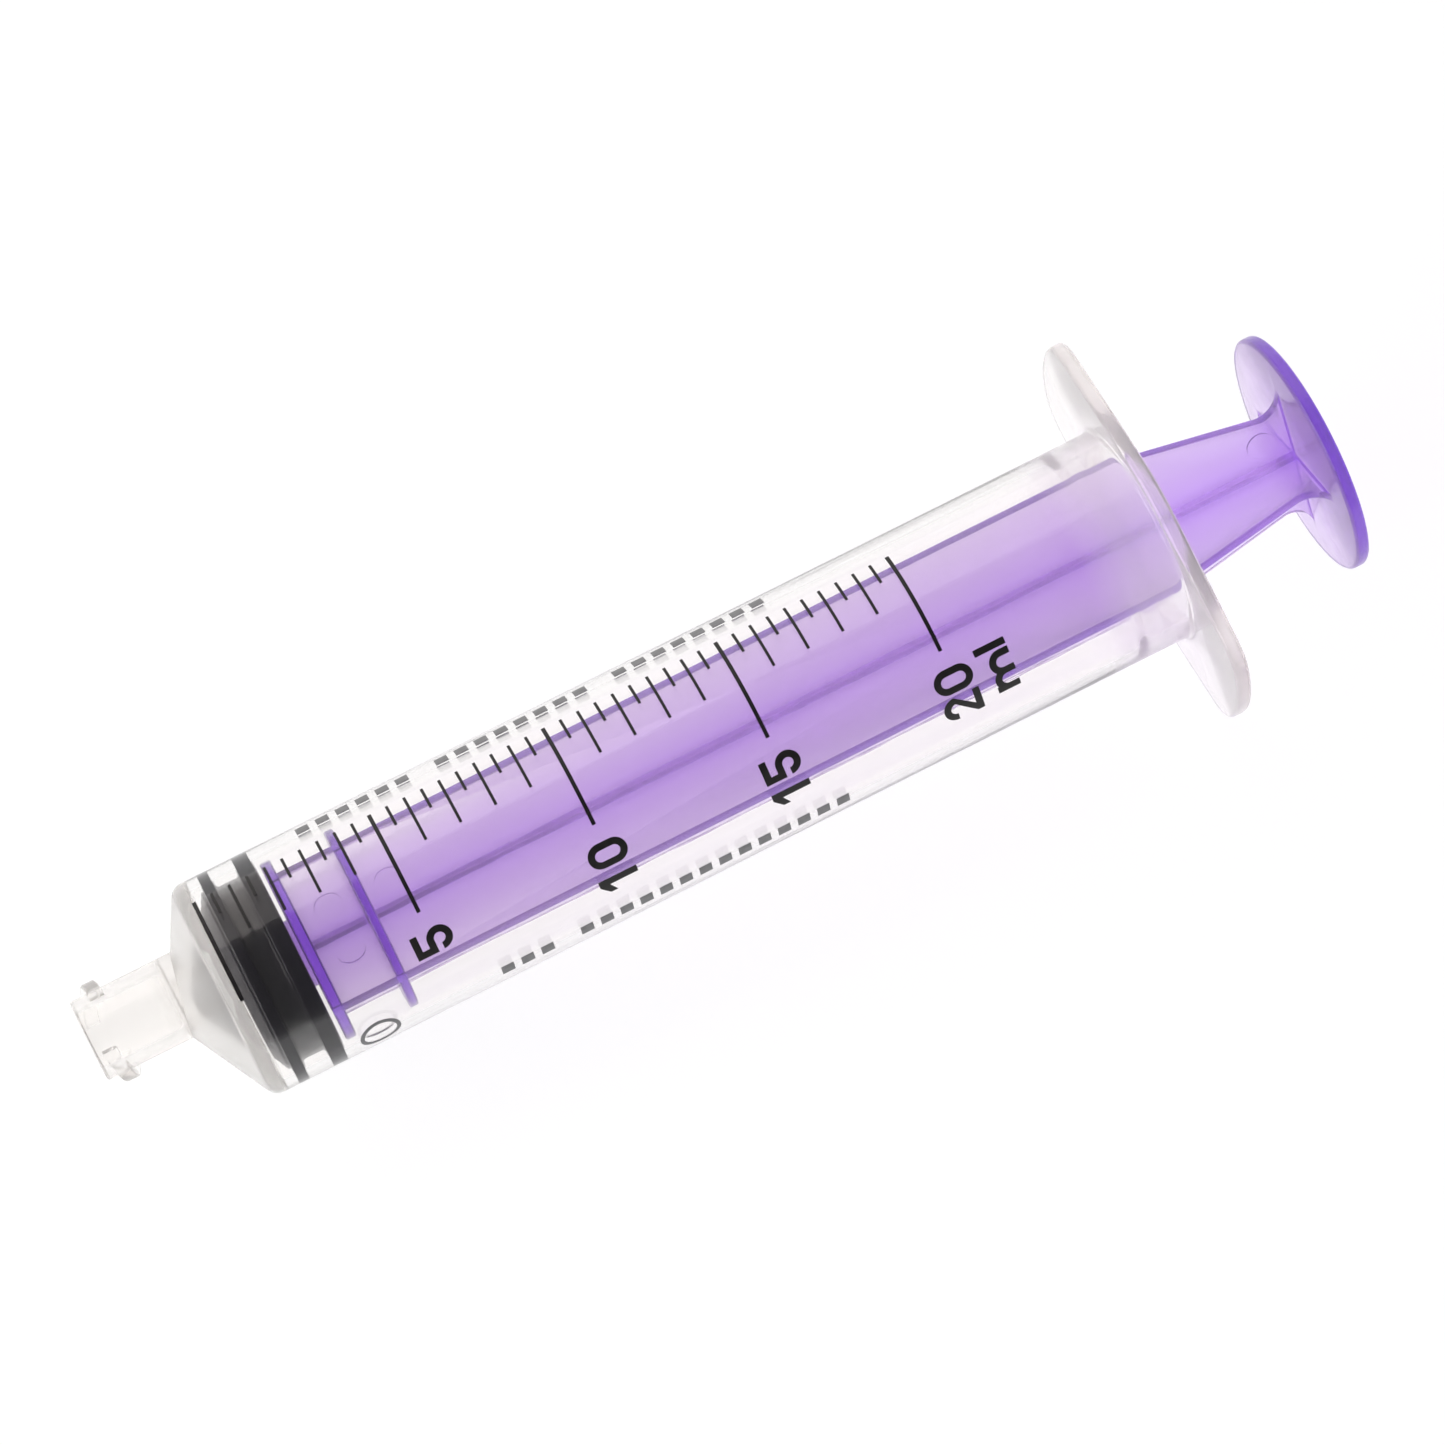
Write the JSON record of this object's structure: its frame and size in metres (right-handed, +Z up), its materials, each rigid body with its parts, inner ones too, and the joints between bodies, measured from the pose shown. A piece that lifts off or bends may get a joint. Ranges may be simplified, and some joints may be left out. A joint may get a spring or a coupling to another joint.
{
  "type": "oral syringe",
  "caption": "Clear oral syringe with an off-centre socket tip, printed scale, oval finger flange, black rubber stopper and purple cross-ribbed plunger.",
  "frame": {"origin": "on the barrel axis, at the zero line of the scale", "axes": "+X along the barrel axis from the tip towards the thumb rest, +Z up out of the flange's flat side that carries the scale, +Y towards the side that the tip is offset to"},
  "size_m": [0.1245, 0.038, 0.0248],
  "materials": {
    "clear_plastic": "clear, slightly cloudy moulded polypropylene with a soft gloss",
    "black_rubber": "smooth black synthetic rubber with a faint oily sheen",
    "purple_plastic": "translucent purple moulded polypropylene, darker through its edges",
    "black_ink": "black printing ink",
    "grey_ink": "grey printing ink"
  },
  "bodies": {
    "barrel": {"barrel": "clear_plastic", "scale_lines_5ml": "black_ink", "scale_lines_1ml": "black_ink", "scale_lines_half_ml": "black_ink", "numeral_5": "black_ink", "numeral_10": "black_ink", "numeral_15": "black_ink", "numeral_20": "black_ink", "unit_mark": "black_ink", "print_blocks_rear": "grey_ink", "print_blocks_front": "grey_ink"},
    "stopper": {"stopper": "black_rubber"},
    "plunger": {"plunger": "purple_plastic"}
  },
  "joints": [
    {"name": "plunger_stroke", "type": "slide", "parent": "barrel", "child": "stopper", "axis": [1, 0, 0], "range_m": [-0.00115, 0.0815]},
    {"name": "plunger_spin", "type": "hinge", "parent": "stopper", "child": "plunger", "pos_m": [0, 0, 0], "axis": [1, 0, 0], "continuous": true}
  ]
}
